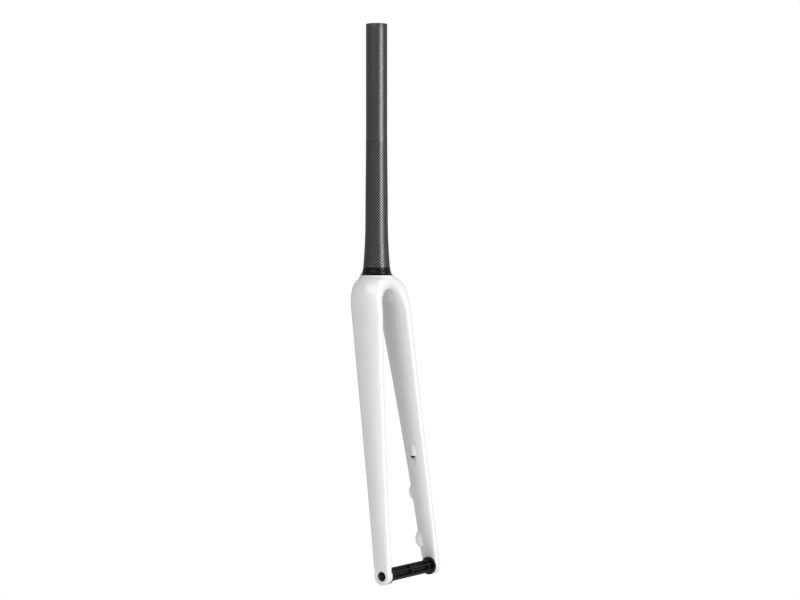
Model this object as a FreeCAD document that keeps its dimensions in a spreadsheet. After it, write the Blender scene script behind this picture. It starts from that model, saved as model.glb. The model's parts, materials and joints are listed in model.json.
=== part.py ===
# Rigid bicycle fork with a tapered carbon steerer, a one-piece crown and legs, and a dropout spacer.
# Row frame in millimetres: origin at the centre of the crown race plane, +Z up the steerer,
# +X to the rider's left (the brake side), and forward is -Y.
import FreeCAD, Part
import math
import os
import Sketcher
from FreeCAD import Vector

doc = FreeCAD.newDocument("rigid_bicycle_fork")

# Driving dimensions: alias, millimetres or degrees, meaning
SIZES = [
    ("steerer_dia", 28.6, "outside of the straight part, 1 1/8 inch"),
    ("steerer_reach", 337.0, "top of the steerer above the race plane"),
    ("steerer_wall", 2.4, "laminate of the straight part"),
    ("steerer_root_wall", 3.0, "laminate of the tapered part"),
    ("steerer_straight_from", 190.0, "height where the taper starts"),
    ("steerer_edge", 0.7, "bevel on the cut top edge"),
    ("taper_mid_height", 55.0, "height where the slow taper turns into the fast one"),
    ("taper_mid_dia", 31.0, "outside there"),
    ("flare_height", 9.5, "height where the fast taper turns into the race flare"),
    ("flare_dia", 36.3, "outside there"),
    ("race_dia", 39.6, "bearing seat, 1 1/2 inch"),
    ("race_land", 1.4, "height of the bearing seat above its bevel"),
    ("race_flange_dia", 44.0, "foot of the 45 degree bevel"),
    ("shank_dia", 34.0, "steerer inside the crown"),
    ("shank_depth", 13.0, "steerer below the race plane"),
    ("axle_to_crown", 395.0, "race plane to axle, along the steerer"),
    ("rake", 52.0, "axle ahead of the steerer axis"),
    ("crown_thickness", 19.2, "crown at its middle, race to arch"),
    ("crown_half_depth", 24.3, "half the crown, front to back"),
    ("crown_lean", 5.0, "middle of the crown's shoulders ahead of the steerer axis"),
    ("rim_dia", 44.6, "painted rim under the race"),
    ("rim_step", 0.45, "how far the rim stands above the crown"),
    ("rim_height", 7.0, "how far the rim reaches into the crown"),
    ("root_drop", 60.0, "level below the race plane where the legs part from the crown"),
    ("root_spread", 32.5, "leg centre from the middle there"),
    ("root_forward", 9.1, "leg centre ahead of the steerer axis there"),
    ("root_half_depth", 24.1, "half the leg there, front to back"),
    ("root_half_width", 10.7, "half the leg there, side to side"),
    ("tip_half_depth", 13.2, "half the leg near the dropout, front to back"),
    ("tip_half_width", 5.9, "half the leg near the dropout, side to side"),
    ("spread_bow", 5.0, "how far the legs bow outwards"),
    ("wall", 2.6, "laminate of the legs"),
    ("hub_width", 100.0, "between the dropouts"),
    ("dropout_width", 10.0, "thickness of a dropout"),
    ("dropout_radius", 11.7, "round end of a dropout"),
    ("dropout_outer_round", 3.0, "rounding of a dropout's outer rim"),
    ("dropout_inner_round", 1.2, "rounding of a dropout's inner rim"),
    ("hub_recess_dia", 25.0, "clear ring for a hub's end on a dropout's inner face"),
    ("axle_dia", 12.0, "through axle"),
    ("axle_play", 0.2, "bore of a sleeve over the axle"),
    ("mouth_dia", 13.0, "hole in a dropout's outer lip"),
    ("mouth_bevel", 0.9, "bevel of that hole"),
    ("lip", 1.6, "laminate left outside a sleeve"),
    ("sleeve_dia", 16.0, "outside of an axle sleeve"),
    ("mount_side", 51.3, "brake mount from the middle"),
    ("mount_drop", 329.0, "middle of the brake mount below the race plane"),
    ("mount_forward", 27.4, "middle of the brake mount ahead of the steerer axis"),
    ("mount_tilt", 9.7, "brake mount's lean from the steerer axis"),
    ("pad_spacing", 64.4, "between the middles of the two pads"),
    ("bolt_spacing", 70.0, "between the two bolt holes"),
    ("pad_half_width", 7.2, "half a pad, side to side"),
    ("pad_half_length", 8.4, "half a pad, along the leg"),
    ("pad_fairing", 2.6, "how much longer a pad's root is at each end"),
    ("pad_rise", 5.0, "from a pad's face to its root"),
    ("pad_depth", 17.0, "from a pad's face to its end inside the leg"),
    ("insert_dia", 8.0, "outside of a brake mount insert"),
    ("insert_length", 12.0, "length of a brake mount insert"),
    ("insert_bore", 4.2, "core of its M5 thread"),
    ("port_dia", 7.0, "brake hose port"),
    ("port_angle", 15.0, "between the hose and the leg's face"),
    ("exit_drop", 247.5, "exit port below the race plane"),
    ("entry_drop", 84.0, "entry port below the race plane"),
    ("hood_half_length", 10.5, "half a port's hood, along the leg"),
    ("hood_half_width", 5.2, "half a port's hood, front to back"),
    ("hood_rise", 1.9, "a port's hood above the leg's face"),
    ("bar_dia", 18.0, "spacer over its ribs"),
    ("bar_core_dia", 8.0, "spacer's core"),
    ("bar_rib", 2.0, "thickness of its ribs"),
    ("bar_web", 1.6, "thickness of its cross webs"),
    ("bar_web_spacing", 39.5, "from the middle web to the next"),
    ("bar_flange_dia", 23.5, "spacer's end flange"),
    ("bar_flange", 3.0, "thickness of an end flange"),
    ("bar_flange_round", 1.2, "rounding of an end flange"),
    ("stub_dia", 11.9, "spacer's stub over its fins"),
    ("stub_core_dia", 5.0, "core of the stub"),
    ("stub_fin", 1.9, "thickness of the stub's fins"),
    ("stub_length", 9.2, "stub beyond the flange"),
]
BAR_RIBS = 6
STUB_FINS = 5

sheet = doc.addObject("Spreadsheet::Sheet", "Sizes")
for row, (alias, amount, meaning) in enumerate(SIZES, 1):
    sheet.set("A%d" % row, alias)
    sheet.set("B%d" % row, str(amount))
    sheet.setAlias("B%d" % row, alias)
    sheet.set("C%d" % row, meaning)
doc.recompute()


# A size that carries its value and the sheet formula that gives it
class Size:
    def __init__(self, value, text):
        self.value = value
        self.text = text

    def joined(self, other, sign, value):
        other_text = other.text if isinstance(other, Size) else repr(other)
        return Size(value, "(%s %s %s)" % (self.text, sign, other_text))

    def __add__(self, other):
        return self.joined(other, "+", self.value + plain(other))

    def __sub__(self, other):
        return self.joined(other, "-", self.value - plain(other))

    def __mul__(self, other):
        return self.joined(other, "*", self.value * plain(other))

    def __truediv__(self, other):
        return self.joined(other, "/", self.value / plain(other))

    def __neg__(self):
        return Size(-self.value, "(0 - %s)" % self.text)


def plain(amount):
    return amount.value if isinstance(amount, Size) else amount


def sine(angle):
    return Size(math.sin(math.radians(angle.value)), "sin(%s * 1deg)" % angle.text)


def cosine(angle):
    return Size(math.cos(math.radians(angle.value)), "cos(%s * 1deg)" % angle.text)


size = {alias: Size(amount, "Sizes." + alias) for alias, amount, meaning in SIZES}


# Bodies, sketches and their constraints
def new_body(label):
    body = doc.addObject("PartDesign::Body", label)
    body.Label = label
    return body


def origin_item(body, role):
    return [item for item in body.Origin.OriginFeatures if item.Role == role][0]


def place_sketch(sketch, base=(None, None, None), turn=None):
    for letter, amount in zip("xyz", base):
        if amount is not None:
            sketch.setExpression("AttachmentOffset.Base." + letter, amount.text)
    if turn is not None:
        axis, angle = turn
        sketch.AttachmentOffset = FreeCAD.Placement(Vector(), FreeCAD.Rotation(axis, plain(angle)))
        sketch.setExpression("AttachmentOffset.Rotation.Angle", angle.text)


def new_sketch(body, name, role, base=(None, None, None), turn=None):
    sketch = body.newObject("Sketcher::SketchObject", name)
    sketch.AttachmentSupport = [(origin_item(body, role), "")]
    sketch.MapMode = "FlatFace"
    place_sketch(sketch, base, turn)
    return sketch


def rule(sketch, kind, *items):
    return sketch.addConstraint(Sketcher.Constraint(kind, *items))


def bind(sketch, kind, *items):
    amount = items[-1]
    index = rule(sketch, kind, *items[:-1], amount.value)
    sketch.setExpression("Constraints[%d]" % index, amount.text)


def arc(centre, radius, start, end):
    return Part.ArcOfCircle(Part.Circle(Vector(centre[0], centre[1], 0), Vector(0, 0, 1), radius), start, end)


# An oval of four tangent arcs; its long axis is the sketch's y, its middle is down from the origin
def oval(sketch, side, down, long_half, short_half, tip_radius):
    reach = long_half - tip_radius
    belly = (reach * reach + short_half * short_half - tip_radius * tip_radius) / ((short_half - tip_radius) * 2)
    inset = belly - short_half
    middle_x = plain(side) if side is not None else 0.0
    middle_y = -plain(down)
    half_angle = math.atan2(reach.value, inset.value)
    right = sketch.addGeometry(arc((middle_x - inset.value, middle_y), belly.value, -half_angle, half_angle))
    top = sketch.addGeometry(
        arc((middle_x, middle_y + reach.value), tip_radius.value, half_angle, math.pi - half_angle))
    left = sketch.addGeometry(
        arc((middle_x + inset.value, middle_y), belly.value, math.pi - half_angle, math.pi + half_angle))
    bottom = sketch.addGeometry(
        arc((middle_x, middle_y - reach.value), tip_radius.value, math.pi + half_angle, 2 * math.pi - half_angle))
    for first, second in ((right, top), (top, left), (left, bottom), (bottom, right)):
        rule(sketch, "Tangent", first, 2, second, 1)
    rule(sketch, "Vertical", bottom, 3, top, 3)
    rule(sketch, "Equal", bottom, top)
    bind(sketch, "Radius", bottom, tip_radius)
    bind(sketch, "DistanceY", bottom, 3, top, 3, reach * 2)
    bind(sketch, "DistanceY", bottom, 3, -1, 1, reach + down)
    bind(sketch, "DistanceX", right, 3, bottom, 3, inset)
    bind(sketch, "DistanceX", bottom, 3, left, 3, inset)
    if side is None:
        rule(sketch, "PointOnObject", bottom, 3, -2)
    else:
        bind(sketch, "DistanceX", -1, 1, bottom, 3, side)


# A closed outline of straight edges whose corners are bound to the sketch's axes
def outline(sketch, points):
    values = [Vector(plain(x), plain(y), 0) for x, y in points]
    edges = []
    for start, end in zip(values, values[1:] + values[:1]):
        edges.append(sketch.addGeometry(Part.LineSegment(start, end)))
    for number, edge in enumerate(edges):
        rule(sketch, "Coincident", edge, 2, edges[(number + 1) % len(edges)], 1)
    for edge, (x, y) in zip(edges, points):
        bind_point(sketch, edge, "DistanceX", x, -2)
        bind_point(sketch, edge, "DistanceY", y, -1)
    return edges


def bind_point(sketch, edge, kind, amount, axis):
    if plain(amount) == 0:
        rule(sketch, "PointOnObject", edge, 1, axis)
    elif plain(amount) > 0:
        bind(sketch, kind, -1, 1, edge, 1, amount)
    else:
        bind(sketch, kind, edge, 1, -1, 1, -amount)


def circle(sketch, side, down, radius):
    ring = sketch.addGeometry(Part.Circle(Vector(plain(side), -plain(down), 0), Vector(0, 0, 1), radius.value))
    bind(sketch, "Radius", ring, radius)
    if plain(side) == 0:
        rule(sketch, "PointOnObject", ring, 3, -2)
    else:
        bind(sketch, "DistanceX", -1, 1, ring, 3, side)
    if plain(down) == 0:
        rule(sketch, "PointOnObject", ring, 3, -1)
    else:
        bind(sketch, "DistanceY", ring, 3, -1, 1, down)


def loft(body, kind, name, sketches):
    feature = body.newObject("PartDesign::" + kind, name)
    feature.Profile = sketches[0]
    feature.Sections = sketches[1:]
    feature.Ruled = False
    feature.Closed = False
    doc.recompute()
    return feature


def mirror(body, name, features):
    feature = body.newObject("PartDesign::Mirrored", name)
    feature.Originals = features
    feature.MirrorPlane = (origin_item(body, "YZ_Plane"), [""])
    body.Tip = feature
    doc.recompute()
    return feature


def turned(body, kind, name, sketch, reference):
    feature = body.newObject("PartDesign::" + kind, name)
    feature.Profile = sketch
    feature.ReferenceAxis = reference
    feature.Angle = 360
    doc.recompute()
    return feature


def pad(body, name, sketch, length, midplane=False, kind="Pad", reverse=False):
    feature = body.newObject("PartDesign::" + kind, name)
    feature.Profile = sketch
    feature.Length = length.value
    feature.setExpression("Length", length.text)
    feature.Midplane = midplane
    feature.Reversed = reverse
    doc.recompute()
    return feature


# Laws of the leg: everything follows from the share of the way from the root to the axle
DEPTH_TAPER = 1.45
THROAT_SHARE = -0.045
TIP_SHARE = 0.995
LEG_SHARES = (0.0, 0.1, 0.2, 0.32, 0.45, 0.58, 0.71, 0.82, 0.92)
HOLLOW_SHARES = (0.0, 0.2, 0.45, 0.71, 0.88)


def leg_fraction(share):
    return size["root_drop"] + (size["axle_to_crown"] - size["root_drop"]) * share


def leg_spread(share):
    tip = (size["hub_width"] + size["dropout_width"]) / 2
    straight = size["root_spread"] + (tip - size["root_spread"]) * share
    return straight + size["spread_bow"] * (share * (1 - share))


def leg_forward(share):
    return size["root_forward"] + (size["rake"] - size["root_forward"]) * share


def leg_half_depth(share):
    return size["tip_half_depth"] + (size["root_half_depth"] - size["tip_half_depth"]) * (1 - share) ** DEPTH_TAPER


# The leg also thickens a little above its root, into the crown
def leg_half_width(share):
    straight = size["root_half_width"] + (size["tip_half_width"] - size["root_half_width"]) * share
    return straight * (1 + 1.1 * max(0.0, -share))


# Roundness of the oval's ends: egg-like at the root, nearly flat-faced at the dropout
def leg_tip_round(share):
    return 0.62 + 0.33 * max(0.0, (share - 0.6) / 0.4) ** 2


# The crown and legs: one hollow moulding
def crown_and_legs():
    body = new_body("crown_and_legs")
    add_crown(body)
    add_legs(body)
    add_rim(body)
    add_dropouts(body)
    cut_hollows(body)
    add_mount_pads(body)
    add_port(body, "exit", size["exit_drop"], -1)
    add_port(body, "entry", size["entry_drop"], 1)
    cut_socket(body)
    cut_dropout_bores(body)
    cut_insert_holes(body)
    return body


# Elevation above the arch's centre, then shares: ring radius, thickness, depth, lean, roundness of the ends
CROWN_FAN = (
    (15, 0.922, 1.26, 0.998, 1.16, 0.68),
    (30, 0.962, 1.41, 0.996, 0.92, 0.74),
    (45, 1.001, 1.51, 0.996, 0.74, 0.79),
    (60, 1.028, 1.474, 0.990, 0.58, 0.83),
    (75, 1.008, 1.12, 0.986, 0.50, 0.85),
    (90, 1.0, 1.0, 0.984, 0.48, 0.86),
)


def leg_sketch(body, name, side_sign, drop, side, forward, half_depth, half_width, tip_round, thinner=None):
    turn = None if side_sign > 0 else (Vector(0, 1, 0), Size(180, "180"))
    sketch = new_sketch(body, name, "XY_Plane", (None, None, -drop), turn)
    if thinner is not None:
        half_depth = half_depth - thinner
        half_width = half_width - thinner
    oval(sketch, side, forward, half_depth, half_width, half_width * tip_round)
    return sketch


def leg_station(body, name, side_sign, share, thinner=None):
    return leg_sketch(body, name, side_sign, leg_fraction(share), leg_spread(share), leg_forward(share),
                      leg_half_depth(share), leg_half_width(share), leg_tip_round(share), thinner)


# The last section, just inside the dropout's round end
def tip_station(body, name):
    return leg_sketch(body, name, 1, leg_fraction(TIP_SHARE), leg_spread(TIP_SHARE), leg_forward(TIP_SHARE),
                      size["dropout_radius"] * 0.98, size["dropout_width"] * 0.49, leg_tip_round(1))


# A cross-section of the crown, in a plane turned about the arch's centre
def crown_station(body, name, elevation, ring, thickness, depth, lean, tip_round):
    turn = (Vector(0, 1, 0), Size(-elevation, repr(-elevation)))
    centre_drop = leg_fraction(THROAT_SHARE)
    sketch = new_sketch(body, name, "XY_Plane", (None, None, -centre_drop), turn)
    half_thickness = size["crown_thickness"] * (thickness / 2)
    radius = (centre_drop - size["rim_step"] - size["crown_thickness"] / 2) * ring
    oval(sketch, radius, size["crown_lean"] * lean, size["crown_half_depth"] * depth,
         half_thickness, half_thickness * tip_round)
    return sketch


# The crown runs over the arch from one leg's throat to the other's
def add_crown(body):
    sketches = [leg_station(body, "LeftThroat", 1, THROAT_SHARE)]
    for number, row in enumerate(CROWN_FAN):
        sketches.append(crown_station(body, "LeftCrown%d" % number, *row))
    for number, row in enumerate(reversed(CROWN_FAN[:-1])):
        sketches.append(crown_station(body, "RightCrown%d" % number, 180 - row[0], *row[1:]))
    sketches.append(leg_station(body, "RightThroat", -1, THROAT_SHARE))
    return loft(body, "AdditiveLoft", "Crown", sketches)


def add_legs(body):
    sketches = []
    for number, share in enumerate((THROAT_SHARE,) + LEG_SHARES):
        sketches.append(leg_station(body, "Leg%d" % number, 1, share))
    sketches.append(tip_station(body, "LegTip"))
    leg = loft(body, "AdditiveLoft", "Leg", sketches)
    return mirror(body, "OtherLeg", [leg])


# The round rim that carries the race stands a little above the crown
def add_rim(body):
    zero = size["rim_height"] * 0.0
    sketch = new_sketch(body, "RimRing", "XY_Plane")
    circle(sketch, zero, zero, size["rim_dia"] / 2)
    return pad(body, "Rim", sketch, size["rim_height"], reverse=True)


# Sketches that hold the axle's line: level with it, x to the rider's left and y to the rear
def axle_sketch(body, name):
    sketch = new_sketch(body, name, "XY_Plane", (None, -size["rake"], -size["axle_to_crown"]))
    axis = sketch.addGeometry(Part.LineSegment(Vector(0, 0, 0), Vector(30, 0, 0)), True)
    rule(sketch, "Coincident", axis, 1, -1, 1)
    rule(sketch, "PointOnObject", axis, 2, -1)
    bind(sketch, "DistanceX", axis, 1, axis, 2, size["hub_width"] * 0.3)
    return sketch


def add_dropouts(body):
    inner = size["hub_width"] / 2
    outer = inner + size["dropout_width"]
    radius = size["dropout_radius"]
    inner_round = size["dropout_inner_round"]
    outer_round = size["dropout_outer_round"]
    sketch = axle_sketch(body, "DropoutProfile")
    zero = radius * 0.0
    outline(sketch, [
        (inner, zero), (outer, zero), (outer, radius - outer_round),
        (outer - outer_round * 0.3, radius - outer_round * 0.3), (outer - outer_round, radius),
        (inner + inner_round, radius), (inner + inner_round * 0.3, radius - inner_round * 0.3),
        (inner, radius - inner_round),
    ])
    disc = turned(body, "Revolution", "Dropout", sketch, (sketch, ["Axis0"]))
    return mirror(body, "OtherDropout", [disc])


def cut_hollows(body):
    sketches = [leg_sketch(body, "HollowHead", 1, leg_fraction(THROAT_SHARE) * 0.72, size["root_spread"] * 0.95,
                           size["root_forward"] * 0.6, size["root_half_depth"] * 0.86,
                           size["root_half_width"] * 0.96, leg_tip_round(0), size["wall"])]
    for number, share in enumerate((THROAT_SHARE,) + HOLLOW_SHARES):
        sketches.append(leg_station(body, "Hollow%d" % number, 1, share, size["wall"]))
    hollow = loft(body, "SubtractiveLoft", "Hollow", sketches)
    return mirror(body, "OtherHollow", [hollow])


# Frames on the brake mount's plane: y runs up along it, z into the leg
def mount_base(along, into):
    tilt = size["mount_tilt"]
    level = along * cosine(tilt) - size["mount_drop"] + into * sine(tilt)
    forward = size["mount_forward"] - along * sine(tilt) + into * cosine(tilt)
    return (size["mount_side"], level, forward)


def mount_sketch(body, name, along, into):
    return new_sketch(body, name, "XZ_Plane", mount_base(along, into), (Vector(1, 0, 0), -size["mount_tilt"]))


def add_mount_pads(body):
    zero = size["pad_spacing"] * 0.0
    for name, along in (("Upper", size["pad_spacing"] / 2), ("Lower", -(size["pad_spacing"] / 2))):
        stages = (
            (zero, size["pad_half_length"], size["pad_half_width"]),
            (size["pad_rise"], size["pad_half_length"] + size["pad_fairing"], size["pad_half_width"] + 0.3),
            (size["pad_depth"], size["pad_half_length"] * 0.9, size["pad_half_width"] * 0.6),
        )
        sketches = []
        for number, (into, half_length, half_width) in enumerate(stages):
            sketch = mount_sketch(body, "%sPad%d" % (name, number), along, into)
            oval(sketch, None, zero, half_length, half_width, half_width * 0.8)
            sketches.append(sketch)
        loft(body, "AdditiveLoft", name + "Pad", sketches)


def cut_insert_holes(body):
    zero = size["bolt_spacing"] * 0.0
    for name, along in (("Upper", size["bolt_spacing"] / 2), ("Lower", -(size["bolt_spacing"] / 2))):
        sketch = mount_sketch(body, name + "InsertHole", along, zero)
        circle(sketch, zero, zero, size["insert_dia"] / 2)
        pad(body, name + "InsertPocket", sketch, size["insert_length"], kind="Pocket", reverse=True)


# A hose port on one side face: a low hood, and a round hole that enters the leg at a shallow angle
def add_port(body, name, drop, side_sign):
    share = (drop - size["root_drop"]) / (size["axle_to_crown"] - size["root_drop"])
    here = share.value
    face = leg_spread(here) + leg_half_width(here) * side_sign
    forward = leg_forward(here)
    slope_side = ((leg_spread(here + 0.05) + leg_half_width(here + 0.05) * side_sign).value - face.value)
    slope_forward = (leg_forward(here + 0.05) - leg_forward(here)).value
    run = (leg_fraction(here + 0.05) - leg_fraction(here)).value
    down = Vector(slope_side, -slope_forward, -run).normalize()
    along = down * (-side_sign)
    outward = Vector(side_sign, 0, 0)
    outward = (outward - along * outward.dot(along)).normalize()
    mouth = Vector(face.value, -forward.value, -drop.value)
    angle = math.radians(size["port_angle"].value)
    hose_way = along * math.cos(angle) + outward * math.sin(angle)
    hood_centre = mouth - along * (size["hood_half_length"].value * 0.75)
    hood_centre = hood_centre - outward * size["hood_rise"].value * 0.6
    hood = body.newObject("PartDesign::AdditiveEllipsoid", name.capitalize() + "Hood")
    hood.Radius1 = size["hood_rise"].value * 1.6
    hood.Radius2 = size["hood_half_length"].value
    hood.Radius3 = size["hood_half_width"].value
    hood.Angle1 = -90
    hood.Angle2 = 90
    hood.Angle3 = 360
    across = outward.cross(along)
    hood.Placement = frame_at(hood_centre, along, across, outward)
    doc.recompute()
    hole = body.newObject("PartDesign::SubtractiveCylinder", name.capitalize() + "Port")
    hole.Radius = size["port_dia"].value / 2
    hole.Height = 40
    start = mouth - hose_way * 13 + outward * 0.6
    side = hose_way.cross(Vector(0, 1, 0)).normalize()
    hole.Placement = frame_at(start, side, hose_way.cross(side), hose_way)
    doc.recompute()


def frame_at(point, x_way, y_way, z_way):
    matrix = FreeCAD.Matrix(
        x_way.x, y_way.x, z_way.x, point.x,
        x_way.y, y_way.y, z_way.y, point.y,
        x_way.z, y_way.z, z_way.z, point.z,
        0, 0, 0, 1)
    return FreeCAD.Placement(matrix)


def cut_socket(body):
    zero = size["shank_dia"] * 0.0
    sketch = new_sketch(body, "SocketRing", "XY_Plane")
    circle(sketch, zero, zero, size["shank_dia"] / 2)
    return pad(body, "Socket", sketch, size["shank_depth"], kind="Pocket")


def cut_dropout_bores(body):
    inner = size["hub_width"] / 2
    outer = inner + size["dropout_width"]
    seat = outer - size["lip"]
    sleeve = size["sleeve_dia"] / 2
    mouth = size["mouth_dia"] / 2
    bevel = size["mouth_bevel"]
    zero = mouth * 0.0
    sketch = axle_sketch(body, "BoreProfile")
    recess = size["hub_recess_dia"] / 2
    outline(sketch, [
        (inner - 8, zero), (outer + 1, zero), (outer + 1, mouth + bevel + 1), (outer - bevel, mouth),
        (seat, mouth), (seat, sleeve), (inner, sleeve), (inner, recess), (inner - 8, recess),
    ])
    bore = turned(body, "Groove", "DropoutBore", sketch, (sketch, ["Axis0"]))
    return mirror(body, "OtherDropoutBore", [bore])


# The steerer: one laminated tube, turned profile
def steerer_tube():
    body = new_body("steerer_tube")
    sketch = new_sketch(body, "SteererProfile", "XZ_Plane")
    outer = size["steerer_dia"] / 2
    top = size["steerer_reach"]
    edge = size["steerer_edge"]
    wall = size["steerer_wall"]
    root_wall = size["steerer_root_wall"]
    race = size["race_dia"] / 2
    flange = size["race_flange_dia"] / 2
    shank = size["shank_dia"] / 2
    bevel = flange - race
    zero = bevel * 0.0
    outline(sketch, [
        (outer - wall, top),
        (outer - edge, top),
        (outer, top - edge),
        (outer, size["steerer_straight_from"]),
        (size["taper_mid_dia"] / 2, size["taper_mid_height"]),
        (size["flare_dia"] / 2, size["flare_height"]),
        (race, bevel + size["race_land"]),
        (race, bevel),
        (flange, zero),
        (shank, zero),
        (shank, -size["shank_depth"]),
        (shank - root_wall, -size["shank_depth"]),
        (size["flare_dia"] / 2 - root_wall, size["flare_height"]),
        (size["taper_mid_dia"] / 2 - root_wall, size["taper_mid_height"]),
        (outer - wall, size["steerer_straight_from"]),
    ])
    turned(body, "Revolution", "Tube", sketch, (sketch, ["V_Axis"]))
    return body


# Aluminium sleeves that line the dropouts
def axle_sleeve(label, side_sign):
    body = new_body(label)
    inner = size["hub_width"] / 2
    length = size["dropout_width"] - size["lip"]
    reach = inner if side_sign > 0 else inner + length
    sketch = new_sketch(body, "SleeveRing", "YZ_Plane", (None, None, reach * side_sign))
    zero = length * 0.0
    circle(sketch, zero, zero, size["sleeve_dia"] / 2)
    circle(sketch, zero, zero, (size["axle_dia"] + size["axle_play"]) / 2)
    pad(body, "Sleeve", sketch, length)
    set_at_axle(body)
    return body


def set_at_axle(body):
    body.setExpression("Placement.Base.y", (-size["rake"]).text)
    body.setExpression("Placement.Base.z", (-size["axle_to_crown"]).text)


# Threaded inserts of the brake mount
def mount_insert(label, along):
    body = new_body(label)
    zero = size["bolt_spacing"] * 0.0
    sketch = mount_sketch(body, "InsertRing", along, zero)
    circle(sketch, zero, zero, size["insert_dia"] / 2)
    circle(sketch, zero, zero, size["insert_bore"] / 2)
    pad(body, "Insert", sketch, size["insert_length"])
    return body


# The moulded bar that keeps the dropouts apart: ribbed core, webs, flanges and finned stubs
def dropout_spacer():
    body = new_body("dropout_spacer")
    half = size["hub_width"] / 2
    zero = half * 0.0
    between = size["hub_width"] - size["bar_flange"]
    core = new_sketch(body, "CoreRing", "YZ_Plane")
    circle(core, zero, zero, size["bar_core_dia"] / 2)
    pad(body, "Core", core, between, midplane=True)
    rib = new_sketch(body, "RibShape", "YZ_Plane")
    fin_outline(rib, size["bar_dia"] / 2, size["bar_rib"])
    rib_pad = pad(body, "Rib", rib, between, midplane=True)
    around(body, "Ribs", rib_pad, BAR_RIBS)
    middle = new_sketch(body, "MiddleWebRing", "YZ_Plane")
    circle(middle, zero, zero, (size["bar_dia"] - size["bar_rib"] * 0.8) / 2)
    pad(body, "MiddleWeb", middle, size["bar_web"], midplane=True)
    side = new_sketch(body, "SideWebRing", "YZ_Plane", (None, None, size["bar_web_spacing"]))
    circle(side, zero, zero, (size["bar_dia"] - size["bar_rib"] * 0.8) / 2)
    side_web = pad(body, "SideWeb", side, size["bar_web"], midplane=True)
    flange = new_sketch(body, "FlangeProfile", "XY_Plane")
    radius = size["bar_flange_dia"] / 2
    soft = size["bar_flange_round"]
    outline(flange, [
        (half - size["bar_flange"], zero), (half, zero), (half, radius - soft), (half - soft * 0.3, radius - soft * 0.3),
        (half - soft, radius), (half - size["bar_flange"], radius),
    ])
    flange_disc = turned(body, "Revolution", "Flange", flange, (origin_item(body, "X_Axis"), [""]))
    stub_core = new_sketch(body, "StubCoreRing", "YZ_Plane", (None, None, half))
    circle(stub_core, zero, zero, size["stub_core_dia"] / 2)
    stub = pad(body, "StubCore", stub_core, size["stub_length"])
    mirror(body, "OtherEnd", [side_web, flange_disc, stub])
    for name, base, backwards in (("Left", half, False), ("Right", -half, True)):
        fin = new_sketch(body, name + "FinShape", "YZ_Plane", (None, None, base))
        fin_outline(fin, size["stub_dia"] / 2, size["stub_fin"])
        fin_pad = pad(body, name + "Fin", fin, size["stub_length"], reverse=backwards)
        around(body, name + "Fins", fin_pad, STUB_FINS)
    set_at_axle(body)
    return body


# A radial fin pointing up from the middle
def fin_outline(sketch, radius, thickness):
    half = thickness / 2
    zero = half * 0.0
    low = half * 1.0
    outline(sketch, [(half, radius), (-half, radius), (-half, low), (half, low)])


def around(body, name, feature, count):
    pattern = body.newObject("PartDesign::PolarPattern", name)
    pattern.Originals = [feature]
    pattern.Axis = (origin_item(body, "X_Axis"), [""])
    pattern.Angle = 360
    pattern.Occurrences = count
    body.Tip = pattern
    doc.recompute()
    return pattern


def check_document():
    for item in doc.Objects:
        if "Invalid" in item.State or "Error" in item.State:
            raise RuntimeError("failed feature: " + item.Label)


def main():
    bodies = [
        crown_and_legs(),
        steerer_tube(),
        axle_sleeve("axle_sleeve_left", 1),
        axle_sleeve("axle_sleeve_right", -1),
        mount_insert("brake_insert_upper", size["bolt_spacing"] / 2),
        mount_insert("brake_insert_lower", -(size["bolt_spacing"] / 2)),
        dropout_spacer(),
    ]
    doc.recompute()
    check_document()
    for body in bodies:
        shape = body.Shape
        if shape.isNull() or not shape.isValid() or len(shape.Solids) != 1:
            raise RuntimeError("bad solid: %s" % body.Label)
    os.makedirs("parts", exist_ok=True)
    for body in bodies:
        body.Shape.exportStep("parts/%s.step" % body.Label)
        box = body.Shape.BoundBox
        print("%s volume %.0f box %.1f..%.1f %.1f..%.1f %.1f..%.1f" % (
            body.Label, body.Shape.Volume, box.XMin, box.XMax, box.YMin, box.YMax, box.ZMin, box.ZMax))


main()
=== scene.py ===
import bpy
import bmesh
import json
import math
import numpy as np
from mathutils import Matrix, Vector


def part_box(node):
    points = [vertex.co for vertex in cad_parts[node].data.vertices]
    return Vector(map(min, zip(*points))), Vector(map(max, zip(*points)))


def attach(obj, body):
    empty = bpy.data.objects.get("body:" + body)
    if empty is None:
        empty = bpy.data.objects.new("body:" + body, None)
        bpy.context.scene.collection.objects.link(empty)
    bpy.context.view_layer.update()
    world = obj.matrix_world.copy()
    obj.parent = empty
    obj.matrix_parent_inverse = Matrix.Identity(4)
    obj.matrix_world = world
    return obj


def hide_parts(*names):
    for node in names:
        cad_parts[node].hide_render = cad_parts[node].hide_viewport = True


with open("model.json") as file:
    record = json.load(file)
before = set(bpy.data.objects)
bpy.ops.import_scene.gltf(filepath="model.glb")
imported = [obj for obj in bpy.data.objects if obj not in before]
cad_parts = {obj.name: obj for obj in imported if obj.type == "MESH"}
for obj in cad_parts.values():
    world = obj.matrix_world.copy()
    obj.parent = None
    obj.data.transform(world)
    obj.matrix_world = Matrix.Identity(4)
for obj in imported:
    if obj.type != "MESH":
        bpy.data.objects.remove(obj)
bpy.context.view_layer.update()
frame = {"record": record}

MM = 0.001
mounts = {mount["name"]: mount for mount in frame["record"]["mounts"]}

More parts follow.
